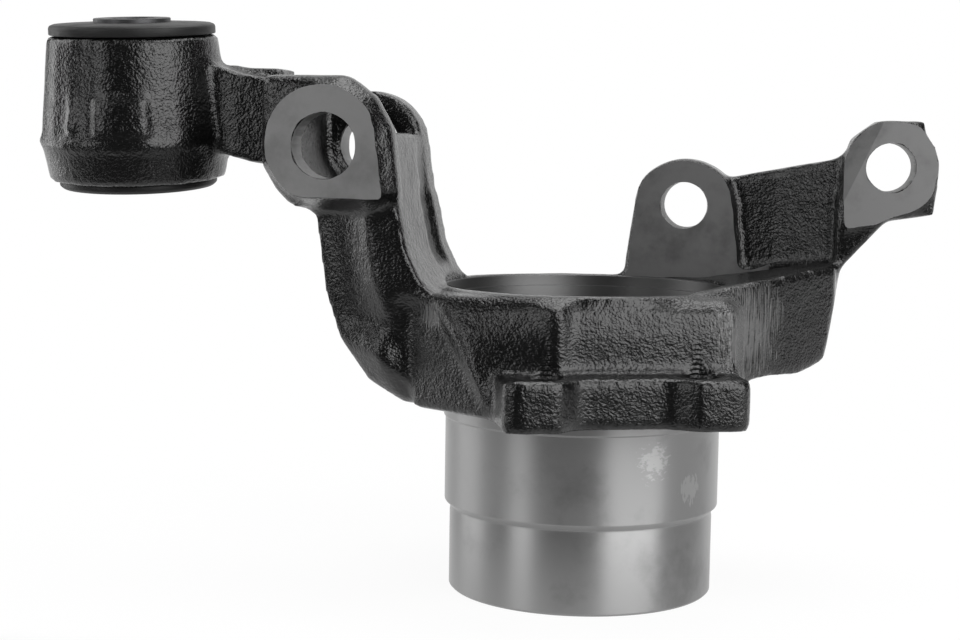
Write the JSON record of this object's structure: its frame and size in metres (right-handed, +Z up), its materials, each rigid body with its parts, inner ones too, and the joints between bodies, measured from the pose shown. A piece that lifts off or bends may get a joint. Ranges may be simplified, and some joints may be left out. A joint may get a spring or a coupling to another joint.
{
  "type": "steering knuckle",
  "caption": "Cast suspension knuckle with a turned hub barrel, bolt flange, link fork, two link ears and a rubber-bushed eye.",
  "frame": {"origin": "on the hub axis at the lower end of the turned barrel", "axes": "+Z up the hub axis, from the barrel to the ring's mouth; +X from the bushed eye towards the link ears; +Y from the fork's machined near face to its far ear, along the fork bore"},
  "size_m": [0.2957, 0.148, 0.1863],
  "materials": {
    "painted_casting": "glossy black paint over sand-cast grain, bare where machined",
    "sleeve_steel": "dark phosphated steel",
    "bush_rubber": "moulded matt black rubber"
  },
  "bodies": {
    "root": {"knuckle_casting": "painted_casting", "bush_outer_sleeve": "sleeve_steel", "bush_rubber": "bush_rubber", "bush_inner_sleeve": "sleeve_steel"}
  },
  "joints": []
}
